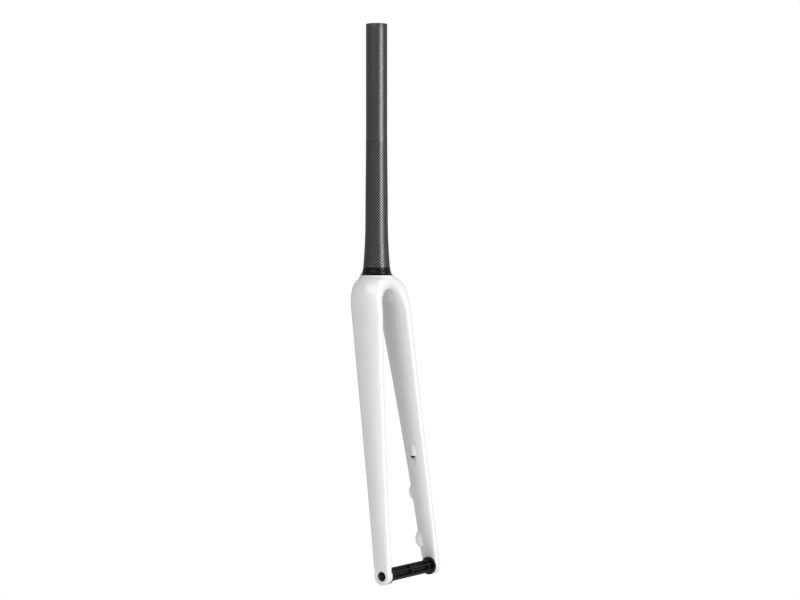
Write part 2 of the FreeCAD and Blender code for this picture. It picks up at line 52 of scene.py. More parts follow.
# Places and sizes that the frame gives, in millimetres
steerer_low, steerer_high = [np.array(corner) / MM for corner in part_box("steerer_tube")]
shell_low, shell_high = [np.array(corner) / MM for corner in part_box("crown_and_legs")]
spacer_low, spacer_high = [np.array(corner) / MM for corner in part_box("dropout_spacer")]
sleeve_low, sleeve_high = [np.array(corner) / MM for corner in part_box("axle_sleeve_left")]
AXLE = np.array(mounts["front_axle"]["pos_m"]) / MM
RAKE = -AXLE[1]
AXLE_DROP = -AXLE[2]
STEERER_TOP = steerer_high[2]
SHANK_DEPTH = -steerer_low[2]
FLANGE_RADIUS = steerer_high[0]
STEERER_RADIUS = mounts["steerer"]["dims"]["r_mm"]
STEERER_BORE = mounts["steerer_bore"]["dims"]["r_mm"]
RACE_RADIUS = mounts["crown_race"]["dims"]["r_mm"]
RACE_LAND = mounts["crown_race"]["dims"]["length_mm"]
HUB_HALF = sleeve_low[0]
SLEEVE_END = sleeve_high[0]
SLEEVE_RADIUS = (sleeve_high[2] - sleeve_low[2]) / 2
DROPOUT_RADIUS = AXLE[2] - shell_low[2]
DROPOUT_WIDTH = 10.0
OUTER_ROUND = 2.2
INNER_ROUND = 0.8
MOUTH_RADIUS = 6.5
MOUTH_BEVEL = 0.9
RECESS_RADIUS = 12.5
RECESS_DEPTH = 9
CAP = 0.5
CUTTER_CAP = 0.4
CUTTER_OVERRUN = 0.6
SHANK_RADIUS = STEERER_RADIUS + 2.7
SOCKET_OVERRUN = 4.0

# The leg's laws, by the share of the way from the root to the axle
ROOT_DROP = 60.0
ROOT_SPREAD = 32.5
ROOT_FORWARD = 9.1
ROOT_HALF_DEPTH = 24.1
ROOT_HALF_WIDTH = 10.7
TIP_HALF_DEPTH = 13.2
TIP_HALF_WIDTH = 5.9
SPREAD_BOW = 5.0
DEPTH_TAPER = 1.45
LEG_ROUND = 0.62
TIP_ROUND = 0.95
ROUNDING_START = 0.6
ROUNDNESS_LIMIT = 0.96
THROAT_WIDENING = 1.1
THROAT_SHARE = -0.045
TIP_SHARE = 0.995
TIP_WIDTH_SHARE = 0.495
SMOOTHING_PASSES = 8
LEG_SHARES = (0.0, 0.1, 0.2, 0.32, 0.45, 0.58, 0.71, 0.82, 0.92, 0.965)

# The crown
CROWN_THICKNESS = 19.2
CROWN_HALF_DEPTH = 24.3
CROWN_LEAN = 5.0
RIM_RADIUS = 22.3
RIM_STEP = 0.45
RIM_FOOT = 13.0
RIM_EDGE = 0.5

# How much wider than its top edge the rim is, and the place on the steerer's axis
RIM_STAGES = ((-2.0, -RIM_FOOT), (0.6, -8.5), (1.7, -5.0), (0.9, -2.4))

# Elevation above the arch's centre, ring radius, thickness, depth, lean, roundness
CROWN_FAN = (
    (15, 0.922, 1.26, 0.998, 1.16, 0.68),
    (30, 0.962, 1.41, 0.996, 0.92, 0.74),
    (45, 1.001, 1.51, 0.996, 0.74, 0.79),
    (60, 1.028, 1.474, 0.990, 0.58, 0.83),
    (75, 1.008, 1.12, 0.986, 0.50, 0.85),
    (90, 1.0, 1.0, 0.984, 0.48, 0.86),
)


# Mesh helpers
def add_object(name, verts, faces, material, smooth_angle=35.0):
    mesh = bpy.data.meshes.new(name)
    mesh.from_pydata([tuple(v * MM for v in vert) for vert in verts], [], faces)
    mesh.validate()
    piece = bpy.data.objects.new(name, mesh)
    bpy.context.scene.collection.objects.link(piece)
    fix_normals(piece)
    shade(piece, smooth_angle)
    if material is not None:
        mesh.materials.append(material)
    return piece


def fix_normals(piece):
    work = bmesh.new()
    work.from_mesh(piece.data)
    bmesh.ops.remove_doubles(work, verts=work.verts, dist=1e-7)
    bmesh.ops.recalc_face_normals(work, faces=work.faces)
    work.to_mesh(piece.data)
    work.free()


def shade(piece, angle):
    mesh = piece.data
    mesh.polygons.foreach_set("use_smooth", [True] * len(mesh.polygons))
    mesh.set_sharp_from_angle(angle=math.radians(angle))


def apply_modifiers(piece):
    depsgraph = bpy.context.evaluated_depsgraph_get()
    evaluated = piece.evaluated_get(depsgraph)
    mesh = bpy.data.meshes.new_from_object(evaluated)
    old = piece.data
    piece.modifiers.clear()
    piece.data = mesh
    bpy.data.meshes.remove(old)


def boolean(piece, other, operation):
    modifier = piece.modifiers.new(operation, "BOOLEAN")
    modifier.operation = operation
    modifier.object = other
    modifier.solver = "EXACT"
    apply_modifiers(piece)
    mesh = other.data
    bpy.data.objects.remove(other)
    bpy.data.meshes.remove(mesh)


def join_meshes(name, pieces):
    work = bmesh.new()
    for piece in pieces:
        work.from_mesh(piece.data)
    mesh = bpy.data.meshes.new(name)
    work.to_mesh(mesh)
    work.free()
    for piece in pieces:
        old = piece.data
        bpy.data.objects.remove(piece)
        bpy.data.meshes.remove(old)
    joined = bpy.data.objects.new(name, mesh)
    bpy.context.scene.collection.objects.link(joined)
    return joined


# Rings of points joined into a closed skin
def skin(name, rings, material=None, smooth_angle=35.0):
    count = len(rings[0])
    verts = [point for ring in rings for point in ring]
    faces = []
    for row in range(len(rings) - 1):
        for k in range(count):
            here = row * count + k
            beside = row * count + (k + 1) % count
            faces.append((here, beside, beside + count, here + count))
    faces.append(tuple(range(count))[::-1])
    last = (len(rings) - 1) * count
    faces.append(tuple(last + k for k in range(count)))
    return add_object(name, verts, faces, material, smooth_angle)


# A turned form: profile pairs (radius, place along the axis); closed when it returns to its start
def turned(name, profile, centre, axis, material=None, steps=96, closed=False, smooth_angle=35.0):
    axis = Vector(axis).normalized()
    side = axis.orthogonal().normalized()
    other = axis.cross(side)
    centre = Vector(centre)
    verts = []
    for radius, place in profile:
        for k in range(steps):
            angle = 2 * math.pi * k / steps
            outward = side * math.cos(angle) + other * math.sin(angle)
            verts.append(centre + axis * place + outward * radius)
    faces = []
    rows = len(profile)
    for row in range(rows if closed else rows - 1):
        low = row * steps
        high = ((row + 1) % rows) * steps
        for k in range(steps):
            following = (k + 1) % steps
            faces.append((low + k, low + following, high + following, high + k))
    if not closed:
        faces.append(tuple(range(steps))[::-1])
        faces.append(tuple((rows - 1) * steps + k for k in range(steps)))
    return add_object(name, verts, faces, material, smooth_angle)


# Points of a quarter round between two directions, for rims
def rounding(centre, radius, start, end, steps=6):
    angles = np.radians(np.linspace(start, end, steps + 1))
    return [(centre[0] + radius * math.cos(a), centre[1] + radius * math.sin(a)) for a in angles]


# A closed outline with round corners
def rounded_outline(corners, radii, steps=5):
    points = []
    count = len(corners)
    for k in range(count):
        corner = np.array(corners[k], float)
        before = np.array(corners[k - 1], float) - corner
        after = np.array(corners[(k + 1) % count], float) - corner
        before_length = np.linalg.norm(before)
        after_length = np.linalg.norm(after)
        before = before / before_length
        after = after / after_length
        half = math.acos(max(-1.0, min(1.0, float(before @ after)))) / 2
        reach = min(radii[k] / math.tan(half), 0.49 * before_length, 0.49 * after_length)
        radius = reach * math.tan(half)
        middle = corner + (before + after) / np.linalg.norm(before + after) * radius / math.sin(half)
        start = corner + before * reach - middle
        end = corner + after * reach - middle
        start_angle = math.atan2(start[1], start[0])
        sweep = math.atan2(end[1], end[0]) - start_angle
        sweep = (sweep + math.pi) % (2 * math.pi) - math.pi
        for step in range(steps + 1):
            angle = start_angle + sweep * step / steps
            points.append((middle[0] + radius * math.cos(angle), middle[1] + radius * math.sin(angle)))
    return points


# Smooth curve through key values
def through(keys, values, places):
    keys = np.array(keys, float)
    values = np.array(values, float)
    slopes = np.gradient(values, keys, axis=0)
    result = []
    for place in places:
        k = int(np.clip(np.searchsorted(keys, place) - 1, 0, len(keys) - 2))
        width = keys[k + 1] - keys[k]
        t = (place - keys[k]) / width
        result.append((2 * t**3 - 3 * t**2 + 1) * values[k] + (t**3 - 2 * t**2 + t) * width * slopes[k]
                      + (3 * t**2 - 2 * t**3) * values[k + 1] + (t**3 - t**2) * width * slopes[k + 1])
    return np.array(result)


# The leg's laws
def leg_drop(share):
    return ROOT_DROP + (AXLE_DROP - ROOT_DROP) * share


def leg_spread(share):
    tip = HUB_HALF + DROPOUT_WIDTH / 2
    return ROOT_SPREAD + (tip - ROOT_SPREAD) * share + SPREAD_BOW * share * (1 - share)


def leg_forward(share):
    return ROOT_FORWARD + (RAKE - ROOT_FORWARD) * share


def leg_half_depth(share):
    return TIP_HALF_DEPTH + (ROOT_HALF_DEPTH - TIP_HALF_DEPTH) * (1 - share) ** DEPTH_TAPER


def leg_half_width(share):
    straight = ROOT_HALF_WIDTH + (TIP_HALF_WIDTH - ROOT_HALF_WIDTH) * share
    return straight * (1 + THROAT_WIDENING * max(0.0, -share))


def leg_round(share):
    late = max(0.0, (share - ROUNDING_START) / (1 - ROUNDING_START))
    return LEG_ROUND + (TIP_ROUND - LEG_ROUND) * late ** 2


# One section: spread, height, tilt of its plane, forward, half width, half depth, roundness
def leg_section(share):
    return (leg_spread(share), -leg_drop(share), 0.0, leg_forward(share), leg_half_width(share),
            leg_half_depth(share), leg_round(share))


def tip_section():
    share = TIP_SHARE
    return (leg_spread(share), -leg_drop(share), 0.0, leg_forward(share), DROPOUT_WIDTH * TIP_WIDTH_SHARE,
            DROPOUT_RADIUS, leg_round(1.0))


def crown_section(elevation, ring, thickness, depth, lean, roundness):
    centre = leg_drop(THROAT_SHARE)
    radius = (centre - RIM_STEP - CROWN_THICKNESS / 2) * ring
    angle = math.radians(elevation)
    return (radius * math.cos(angle), radius * math.sin(angle) - centre, angle, CROWN_LEAN * lean,
            CROWN_THICKNESS / 2 * thickness, CROWN_HALF_DEPTH * depth, roundness)


# Four-arc oval as offsets across and along the section, spaced evenly along its edge
def oval(half_width, half_depth, roundness, count):
    tip = half_width * roundness
    reach = half_depth - tip
    belly = (reach**2 + half_width**2 - tip**2) / (2 * (half_width - tip))
    inset = belly - half_width
    join = math.atan2(reach, inset)
    belly_length = belly * 2 * join
    tip_length = tip * (math.pi - 2 * join)
    whole = 2 * (belly_length + tip_length)
    points = []
    for k in range(count):
        walk = whole * k / count + belly_length / 2
        half, walk = divmod(walk, belly_length + tip_length)
        if walk < belly_length:
            angle = walk / belly - join
            across = belly * math.cos(angle) - inset
            along = belly * math.sin(angle)
        else:
            angle = join + (walk - belly_length) / tip
            across = tip * math.cos(angle)
            along = reach + tip * math.sin(angle)
        sign = -1 if half % 2 else 1
        points.append((across * sign, along * sign))
    return points


# The smooth skin of both legs and the crown
def legs_and_crown(around=72, spacing=3.0):
    sections = [tip_section()]
    sections += [leg_section(share) for share in reversed((THROAT_SHARE,) + LEG_SHARES)]
    sections += [crown_section(*row) for row in CROWN_FAN]
    sections = np.array(sections)
    other = sections[-2::-1].copy()
    other[:, 0] *= -1
    other[:, 2] = math.pi - other[:, 2]
    sections = np.vstack([sections, other])
    steps = np.linalg.norm(np.diff(sections[:, [0, 1, 3]], axis=0), axis=1)
    keys = np.concatenate([[0], np.cumsum(steps)])
    places = np.linspace(0, keys[-1], int(keys[-1] / spacing) + 1)
    dense = through(keys, sections, places)
    for _ in range(SMOOTHING_PASSES):
        dense[1:-1] = (dense[:-2] + 2 * dense[1:-1] + dense[2:]) / 4
    rings = []
    for spread, height, angle, forward, half_width, half_depth, roundness in dense:
        ring = []
        for across, along in oval(half_width, half_depth, min(roundness, ROUNDNESS_LIMIT), around):
            ring.append((spread + across * math.cos(angle), along - forward,
                         height + across * math.sin(angle)))
        rings.append(ring)
    return skin("skin", rings)


# Brake mount pads: oval faces on the mount's plane that widen and sink into the leg
PAD_HALF_WIDTH = 7.2
PAD_HALF_LENGTH = 8.8
PAD_FAIRING = 2.6
PAD_INWARD = 2.8
PAD_ROUND = 0.8
PAD_POINTS = 40

# Depth under the pad's face, and how much longer and wider the pad is there
PAD_STAGES = (
    (0.0, -0.3, -0.3),
    (0.3, 0.15, 0.15),
    (1.0, 0.5, 0.3),
    (2.5, PAD_FAIRING * 0.8, 0.1),
    (5.0, PAD_FAIRING * 1.3, -0.5),
    (9.0, PAD_FAIRING, -2.2),
    (17.0, -1.0, -PAD_HALF_WIDTH * 0.6),
)
INSERT_LENGTH = mounts["brake_mount_upper"]["dims"]["length_mm"]
INSERT_RADIUS = 4.0
INSERT_BEVEL = 0.25
INSERT_BEVEL_DEPTH = 0.35
SEAT_FLARE = 0.6
SEAT_REACH = 2.0
INSERT_CORE = mounts["brake_mount_upper"]["dims"]["r_mm"]


def mount_frame(name):
    mount = mounts[name]
    out = Vector(mount["axis"]).normalized()
    up = Vector((1, 0, 0)).cross(out)
    if up.z < 0:
        up = -up
    face = Vector(mount["pos_m"]) / MM + out * (INSERT_LENGTH / 2)
    return face, out, up


def mount_pad(name, inward_sign):
    face, out, up = mount_frame(name)
    centre = face - up * PAD_INWARD * inward_sign
    side = Vector((1, 0, 0))
    rings = []
    for depth, longer, wider in PAD_STAGES:
        ring = []
        for across, along in oval(PAD_HALF_WIDTH + wider, PAD_HALF_LENGTH + longer, PAD_ROUND, PAD_POINTS):
            ring.append(centre - out * depth + side * across + up * along)
        rings.append(ring)
    return skin("pad", rings)


# Hose ports: a low hood over a hole that enters the leg at a shallow angle
HOOD_HALF_LENGTH = 10.5
HOOD_HALF_WIDTH = 5.2
HOOD_RISE = 1.9
HOOD_SETBACK = 0.75
HOOD_SINK = 0.6
HOOD_RINGS = 20
HOOD_POINTS = 40
BORE_HALF_WIDTH = 4.0
BORE_HALF_HEIGHT = 2.6
BORE_SINK = 1.0
# Painted shade in the hose ports: how far it reaches across the hole, as a share of the hole's size
PORT_SHADE_MARGIN = 1.04
PORT_LIFT = 0.6
PORT_ANGLE = 15.0
PORT_REACH = 34.0
PORT_OVERRUN = 30.0
PORT_POINTS = 48
# Where the painted port shade starts, as a depth into the hole from its mouth; below nought it starts just
# outside the mouth
PORT_SHADE_INSET = -0.4


def port_frame(name, side_sign):
    way = Vector(mounts[name]["axis"]).normalized()
    pos = Vector(mounts[name]["pos_m"]) / MM
    side = Vector((side_sign, 0, 0))
    square = (side - way * way.dot(side)).normalized()
    turn = math.radians(PORT_ANGLE)
    along = way * math.cos(turn) - square * math.sin(turn)
    out = way * math.sin(turn) + square * math.cos(turn)
    return pos - out * PORT_LIFT, along, out, way


def hood(name, side_sign):
    mouth, along, out, _ = port_frame(name, side_sign)
    centre = mouth - along * HOOD_HALF_LENGTH * HOOD_SETBACK - out * HOOD_RISE * HOOD_SINK
    across = out.cross(along)
    rings = []
    for step in range(1, HOOD_RINGS):
        tilt = math.pi * step / HOOD_RINGS
        ring = []
        for k in range(HOOD_POINTS):
            turn = 2 * math.pi * k / HOOD_POINTS
            ring.append(centre - along * HOOD_HALF_LENGTH * math.cos(tilt)
                        + across * HOOD_HALF_WIDTH * math.sin(tilt) * math.cos(turn)
                        + out * HOOD_RISE * (1 + HOOD_SINK) * math.sin(tilt) * math.sin(turn))
        rings.append(ring)
    return skin("hood", rings)


def port_cutter(name, side_sign):
    mouth, along, out, way = port_frame(name, side_sign)
    across = out.cross(along).normalized()
    upward = across.cross(way).normalized()
    if upward.dot(out) < 0:
        upward = -upward
    start = mouth - out * BORE_SINK
    rings = []
    for place in (-PORT_REACH, 0.0, PORT_OVERRUN):
        ring = []
        for k in range(PORT_POINTS):
            turn = 2 * math.pi * k / PORT_POINTS
            ring.append(start + way * place + across * BORE_HALF_WIDTH * math.cos(turn)
                        + upward * BORE_HALF_HEIGHT * math.sin(turn))
        rings.append(ring)
    return skin("port_cutter", rings)


def dropout_disc(side):
    radius = DROPOUT_RADIUS + MELT_LOSS
    outer = HUB_HALF + DROPOUT_WIDTH
    profile = [(CAP, HUB_HALF)]
    profile += rounding((radius - INNER_ROUND, HUB_HALF + INNER_ROUND), INNER_ROUND, -90, 0)
    profile += rounding((radius - OUTER_ROUND, outer - OUTER_ROUND), OUTER_ROUND, 0, 90)
    profile += [(CAP, outer)]
    return turned("dropout", profile, (0, AXLE[1], AXLE[2]), (side, 0, 0), steps=96)


def dropout_cutters(side):
    outer = HUB_HALF + DROPOUT_WIDTH
    centre = (0, AXLE[1], AXLE[2])
    softened = MOUTH_BEVEL * 0.3
    profile = [(CUTTER_CAP, HUB_HALF - RECESS_DEPTH), (RECESS_RADIUS, HUB_HALF - RECESS_DEPTH)]
    profile += [(RECESS_RADIUS, HUB_HALF), (SLEEVE_RADIUS, HUB_HALF), (SLEEVE_RADIUS, SLEEVE_END)]
    profile += [(MOUTH_RADIUS, SLEEVE_END), (MOUTH_RADIUS, outer - MOUTH_BEVEL)]
    profile += [(MOUTH_RADIUS + softened, outer - softened)]
    profile += [(MOUTH_RADIUS + MOUTH_BEVEL + 1, outer + CUTTER_OVERRUN)]
    profile += [(CUTTER_CAP, outer + CUTTER_OVERRUN)]
    return turned("bore_cutter", profile, centre, (side, 0, 0), steps=96)


def insert_cutter(name):
    face, out, _ = mount_frame(name)
    flare = INSERT_RADIUS + SEAT_FLARE
    profile = [(INSERT_RADIUS, -INSERT_LENGTH), (INSERT_RADIUS, -INSERT_BEVEL_DEPTH)]
    profile += [(flare, SEAT_FLARE / 2), (flare, SEAT_REACH)]
    return turned("insert_cutter", profile, face, out, steps=64)


def rim_form():
    profile = [(CAP, -RIM_FOOT)]
    profile += [(RIM_RADIUS + wider, place) for wider, place in RIM_STAGES]
    profile += rounding((RIM_RADIUS - RIM_EDGE, -RIM_EDGE), RIM_EDGE, 0, 90, 4)
    profile += [(CAP, 0.0)]
    return turned("rim", profile, (0, 0, 0), (0, 0, 1), steps=128)


def socket_cutter():
    profile = [(SHANK_RADIUS, -SHANK_DEPTH), (SHANK_RADIUS, SOCKET_OVERRUN)]
    return turned("socket_cutter", profile, (0, 0, 0), (0, 0, 1), steps=96)


# One painted moulding: the forms melt into each other, then the holes are cut
VOXEL = 0.72
MELT_LOSS = 0.25
MELT_PASSES = 5
KEPT_SHARE = 0.42
SHELL_CREASE = 38.0


def painted_shell(material):
    forms = [legs_and_crown(), rim_form()]
    forms += [mount_pad("brake_mount_upper", 1), mount_pad("brake_mount_lower", -1)]
    forms += [hood("hose_exit", -1), hood("hose_entry", 1), dropout_disc(1), dropout_disc(-1)]
    shell = join_meshes("painted_shell", forms)
    remesh = shell.modifiers.new("melt", "REMESH")
    remesh.mode = "VOXEL"
    remesh.voxel_size = VOXEL * MM
    smooth = shell.modifiers.new("smooth", "SMOOTH")
    smooth.factor = 0.5
    smooth.iterations = MELT_PASSES
    thin = shell.modifiers.new("thin", "DECIMATE")
    thin.ratio = KEPT_SHARE
    apply_modifiers(shell)
    cutters = [dropout_cutters(1), dropout_cutters(-1)]
    cutters += [insert_cutter("brake_mount_upper"), insert_cutter("brake_mount_lower")]
    cutters += [port_cutter("hose_exit", -1), port_cutter("hose_entry", 1), socket_cutter()]
    boolean(shell, join_meshes("cutters", cutters), "DIFFERENCE")
    shade(shell, SHELL_CREASE)
    shell.data.materials.clear()
    shell.data.materials.append(material)
    return shell


# The steerer: one turned tube
TAPER_TOP = 190.0
TAPER_FOOT = 10.0
TAPER_SPACING = 5.0
STRAIGHT_SPACING = 6.0
SHANK_WALL = 3.0
TOP_ROUND = 0.7
BORE_ROUND = 0.3
BORE_FOOT_RADIUS = 15.2

# Height above the bearing plane and radius there
TAPER_KEYS = (
    (190.0, 14.3),
    (150.0, 14.62),
    (100.0, 15.1),
    (55.0, 15.52),
    (40.0, 16.1),
    (25.0, 17.0),
    (9.5, 18.15),
)


def steerer(material):
    bevel = FLANGE_RADIUS - RACE_RADIUS
    places = np.arange(TAPER_FOOT, TAPER_TOP, TAPER_SPACING)
    heights = [key[0] for key in reversed(TAPER_KEYS)]
    radii = [key[1] for key in reversed(TAPER_KEYS)]
    widths = through(heights, radii, places)
    outer = [(float(radius), float(place)) for radius, place in zip(widths, places)]
    land_end = bevel + RACE_LAND
    profile = [(SHANK_RADIUS - SHANK_WALL, -SHANK_DEPTH), (SHANK_RADIUS, -SHANK_DEPTH), (SHANK_RADIUS, 0.0)]
    profile += [(FLANGE_RADIUS, 0.0), (FLANGE_RADIUS, 0.12)]
    profile += [(RACE_RADIUS + 0.12, bevel), (RACE_RADIUS, bevel + 0.15), (RACE_RADIUS, land_end)]
    profile += [(RACE_RADIUS - 0.75, land_end + 1.8), (RACE_RADIUS - 1.25, land_end + 3.8)]
    profile += outer
    straight = np.arange(TAPER_TOP, STEERER_TOP - 4, STRAIGHT_SPACING)
    profile += [(STEERER_RADIUS, float(place)) for place in straight]
    profile += rounding((STEERER_RADIUS - TOP_ROUND, STEERER_TOP - TOP_ROUND), TOP_ROUND, 0, 90, 5)
    profile += rounding((STEERER_BORE + BORE_ROUND, STEERER_TOP - BORE_ROUND), BORE_ROUND, 90, 180, 3)
    profile += [(STEERER_BORE, TAPER_TOP), (STEERER_BORE + 0.6, 55.0), (BORE_FOOT_RADIUS, 9.5)]
    return turned("steerer_tube_surface", profile, (0, 0, 0), (0, 0, 1), material, steps=144, closed=True)


# Aluminium sleeves and inserts
THREAD_PITCH = 0.8
THREAD_DEPTH = 0.36
THREAD_POINTS = 48
ROWS_PER_TURN = 8
LEAD_IN = 0.5
FACE_SINK = 0.15
THREAD_CREASE = 50.0
SLEEVE_BORE = 6.1
SLEEVE_EDGE = 0.4


def sleeve(name, side, material):
    lip = SLEEVE_BORE + SLEEVE_EDGE
    profile = [(SLEEVE_BORE, HUB_HALF + SLEEVE_EDGE), (lip, HUB_HALF + 0.05)]
    profile += [(SLEEVE_RADIUS - 0.2, HUB_HALF + 0.05), (SLEEVE_RADIUS, HUB_HALF + 0.25)]
    profile += [(SLEEVE_RADIUS, SLEEVE_END), (lip, SLEEVE_END), (SLEEVE_BORE, SLEEVE_END - SLEEVE_EDGE)]
    return turned(name, profile, (0, AXLE[1], AXLE[2]), (side, 0, 0), material, steps=96, closed=True)


def threaded_insert(name, mount, material):
    face, out, up = mount_frame(mount)
    side = Vector((1, 0, 0))
    steps = THREAD_POINTS
    rows = int(INSERT_LENGTH / THREAD_PITCH * ROWS_PER_TURN)
    verts = []
    for row in range(rows + 1):
        depth = INSERT_LENGTH * row / rows
        for k in range(steps):
            phase = (depth / THREAD_PITCH - k / steps) % 1.0
            groove = abs(phase - 0.5) * 2
            lead_in = max(0.0, LEAD_IN - depth)
            radius = INSERT_CORE + THREAD_DEPTH * groove * min(1.0, depth / THREAD_PITCH) + lead_in
            angle = 2 * math.pi * k / steps
            outward = side * math.cos(angle) + up * math.sin(angle)
            verts.append(face - out * (depth + FACE_SINK) + outward * radius)
    outside = [(INSERT_RADIUS, INSERT_LENGTH), (INSERT_RADIUS, INSERT_BEVEL_DEPTH)]
    outside += [(INSERT_RADIUS - INSERT_BEVEL, FACE_SINK)]
    for radius, depth in outside:
        for k in range(steps):
            angle = 2 * math.pi * k / steps
            outward = side * math.cos(angle) + up * math.sin(angle)
            verts.append(face - out * depth + outward * radius)
    total = rows + 1 + len(outside)
    faces = []
    for row in range(total):
        for k in range(steps):
            following = (k + 1) % steps
            low = row * steps
            high = (row + 1) % total * steps
            faces.append((low + k, low + following, high + following, high + k))
    return add_object(name, verts, faces, material, THREAD_CREASE)


# The dropout spacer: ribbed bar, cross webs, flanges and finned stubs
BAR_RIBS = 6
BAR_RADIUS = 9.0
BAR_CORE = 4.0
BAR_RIB = 2.0
WEB = 1.6
WEB_SPACING = 39.5
WEB_ROUND = 0.4
FLANGE = 3.0
FLANGE_ROUND = 1.2
FLANGE_INNER_ROUND = 0.5
RIB_TAPER = 0.85
RIB_ROOT_ROUND = 0.6
RIB_TIP_ROUND = 0.45
CORE_ROUND = 0.5
SPACER_CREASE = 30.0
STUB_FINS = 5
STUB_RADIUS = 5.95
STUB_CORE = 2.5
STUB_FIN = 1.9


def prism(name, outline, start, end, material=None, edge=0.35):
    inset = 1 - edge / max(np.linalg.norm(np.array(outline), axis=1))
    rings = []
    for place, scale in ((start, inset), (start + edge, 1.0), (end - edge, 1.0), (end, inset)):
        rings.append([(place, AXLE[1] + y * scale, AXLE[2] + z * scale) for y, z in outline])
    return skin(name, rings, material)


def ribbed_section(count, tip, core, thickness):
    half = thickness / 2
    gap = math.pi / count
    reach = math.sqrt(core**2 - half**2)
    corners = []
    radii = []
    for k in range(count):
        angle = math.pi / 2 + 2 * gap * k
        out = np.array((math.cos(angle), math.sin(angle)))
        across = np.array((-out[1], out[0]))
        corners += [out * reach - across * half, out * tip - across * half * RIB_TAPER,
                    out * tip + across * half * RIB_TAPER, out * reach + across * half]
        radii += [RIB_ROOT_ROUND, RIB_TIP_ROUND, RIB_TIP_ROUND, RIB_ROOT_ROUND]
        start = angle + math.asin(half / core)
        span = 2 * gap - 2 * math.asin(half / core)
        for step in (1, 2, 3):
            turn = start + span * step / 4
            corners += [np.array((math.cos(turn), math.sin(turn))) * core]
            radii += [CORE_ROUND]
    return rounded_outline(corners, radii, 3)


def spacer(material):
    half = HUB_HALF
    ribs = ribbed_section(BAR_RIBS, BAR_RADIUS, BAR_CORE, BAR_RIB)
    bar = prism("bar", ribs, -half + 1, half - 1, edge=0.1)
    forms = []
    web_radius = BAR_RADIUS - BAR_RIB * 0.4
    inset = WEB / 2 - WEB_ROUND
    for place in (-WEB_SPACING, 0.0, WEB_SPACING):
        profile = [(CAP, -WEB / 2)]
        profile += rounding((web_radius - WEB_ROUND, -inset), WEB_ROUND, -90, 0, 3)
        profile += rounding((web_radius - WEB_ROUND, inset), WEB_ROUND, 0, 90, 3)
        profile += [(CAP, WEB / 2)]
        forms.append(turned("web", profile, (place, AXLE[1], AXLE[2]), (1, 0, 0), steps=72))
    flange_radius = (spacer_high[2] - spacer_low[2]) / 2
    stub_end = spacer_high[0]
    for side in (-1, 1):
        profile = [(CAP, half - FLANGE)]
        inner_centre = (flange_radius - FLANGE_INNER_ROUND, half - FLANGE + FLANGE_INNER_ROUND)
        profile += rounding(inner_centre, FLANGE_INNER_ROUND, -90, 0, 4)
        profile += rounding((flange_radius - FLANGE_ROUND, half - FLANGE_ROUND), FLANGE_ROUND, 0, 90, 6)
        profile += [(CAP, half)]
        forms.append(turned("flange", profile, (0, AXLE[1], AXLE[2]), (side, 0, 0), steps=96))
        fins = ribbed_section(STUB_FINS, STUB_RADIUS, STUB_CORE, STUB_FIN)
        ends = sorted((side * (half - 1), side * stub_end))
        forms.append(prism("stub", fins, ends[0], ends[1], edge=0.5))
    for form in forms:
        boolean(bar, form, "UNION")
    bar.name = "dropout_spacer_surface"
    bar.data.materials.clear()
    bar.data.materials.append(material)
    shade(bar, SPACER_CREASE)
    return bar


# Materials
def new_material(name):
    material = bpy.data.materials.new(name)
    material.use_nodes = True
    nodes = material.node_tree.nodes
    shader = nodes["Principled BSDF"]
    return material, nodes, material.node_tree.links, shader


def maths(nodes, links, operation, first, second=None, third=None):
    node = nodes.new("ShaderNodeMath")
    node.operation = operation
    for index, item in enumerate((first, second, third)):
        if item is None:
            continue
        if isinstance(item, (int, float)):
            node.inputs[index].default_value = item
        else:
            links.new(item, node.inputs[index])
    return node.outputs[0]


def noise(nodes, links, coords, scale, detail=2.0, roughness=0.5):
    node = nodes.new("ShaderNodeTexNoise")
    node.inputs["Scale"].default_value = scale
    node.inputs["Detail"].default_value = detail
    node.inputs["Roughness"].default_value = roughness
    links.new(coords, node.inputs["Vector"])
    return node.outputs["Fac"]


def ramp(nodes, links, factor, stops):
    node = nodes.new("ShaderNodeValToRGB")
    elements = node.color_ramp.elements
    while len(elements) < len(stops):
        elements.new(0.5)
    for element, (place, colour) in zip(elements, stops):
        element.position = place
        element.color = (*colour, 1.0)
    links.new(factor, node.inputs["Fac"])
    return node.outputs["Color"]


def bump(nodes, links, height, strength, distance, normal=None):
    node = nodes.new("ShaderNodeBump")
    node.inputs["Strength"].default_value = strength
    node.inputs["Distance"].default_value = distance
    links.new(height, node.inputs["Height"])
    if normal is not None:
        links.new(normal, node.inputs["Normal"])
    return node.outputs["Normal"]


def object_coords(nodes):
    return nodes.new("ShaderNodeTexCoord").outputs["Object"]


# Painted shade inside a hose port: one inside the port's hole, from just outside its mouth inward, and
# nought elsewhere
def port_shade_mask(nodes, links, coords, name, side_sign):
    mouth, along, out, way = port_frame(name, side_sign)
    across = out.cross(along).normalized()
    upward = across.cross(way).normalized()
    away = nodes.new("ShaderNodeVectorMath")
    away.operation = "SUBTRACT"
    links.new(coords, away.inputs[0])
    away.inputs[1].default_value = (mouth - out * BORE_SINK) * MM
    parts = []
    for direction in (across / BORE_HALF_WIDTH, upward / BORE_HALF_HEIGHT, way):
        product = nodes.new("ShaderNodeVectorMath")
        product.operation = "DOT_PRODUCT"
        links.new(away.outputs[0], product.inputs[0])
        product.inputs[1].default_value = direction / MM
        parts.append(product.outputs["Value"])
    sideways = maths(nodes, links, "MULTIPLY", parts[0], parts[0])
    whole = maths(nodes, links, "MULTIPLY_ADD", parts[1], parts[1], sideways)
    near = maths(nodes, links, "LESS_THAN", whole, PORT_SHADE_MARGIN**2)
    deep = maths(nodes, links, "LESS_THAN", parts[2], -PORT_SHADE_INSET)
    reached = maths(nodes, links, "GREATER_THAN", parts[2], -PORT_REACH - 1.0)
    return maths(nodes, links, "MULTIPLY", maths(nodes, links, "MULTIPLY", near, deep), reached)


